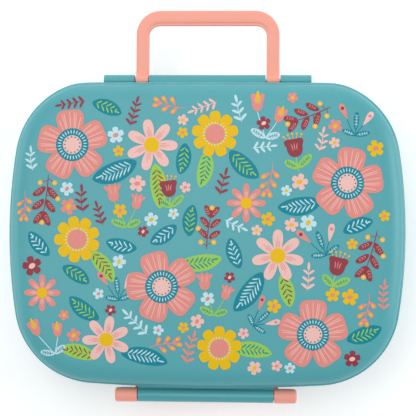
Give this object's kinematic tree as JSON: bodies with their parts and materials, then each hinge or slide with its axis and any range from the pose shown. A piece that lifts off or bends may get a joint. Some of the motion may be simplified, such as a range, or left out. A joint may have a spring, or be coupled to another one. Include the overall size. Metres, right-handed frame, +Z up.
{
  "type": "bento lunch box",
  "caption": "Moulded bento-style lunch box with a hinged domed lid, swinging carry handle, flip-up front latch and a compartment tray.",
  "frame": {"origin": "middle of the base's flat underside", "axes": "+Z up out of the lid, +Y towards the hinge and handle, -Y towards the latch, X along the hinge"},
  "size_m": [0.2164, 0.2158, 0.06],
  "materials": {
    "teal_plastic": "satin moulded polypropylene",
    "coral_plastic": "satin moulded polypropylene",
    "liner_plastic": "satin moulded polypropylene",
    "seal_silicone": "soft translucent silicone",
    "steel_pin": "drawn wire"
  },
  "bodies": {
    "base": {"base_shell": "teal_plastic", "food_tray": "coral_plastic", "hinge_pin": "steel_pin"},
    "lid": {"lid_shell": "teal_plastic", "lid_liner": "liner_plastic", "rim_seal": "seal_silicone", "divider_seal": "seal_silicone", "latch_pin_left": "steel_pin", "latch_pin_right": "steel_pin"},
    "handle": {"handle": "coral_plastic"},
    "latch": {"latch": "coral_plastic"}
  },
  "joints": [
    {"name": "lid_hinge", "type": "hinge", "parent": "base", "child": "lid", "pos_m": [0, 0.0835, 0.04], "axis": [-1, 0, 0], "range_deg": [0, 105]},
    {"name": "handle_swing", "type": "hinge", "parent": "base", "child": "handle", "pos_m": [0, 0.0835, 0.04], "axis": [-1, 0, 0], "range_deg": [0, 90]},
    {"name": "latch_flip", "type": "hinge", "parent": "lid", "child": "latch", "pos_m": [0, -0.0896, 0.04], "axis": [-1, 0, 0], "range_deg": [0, 120]}
  ]
}
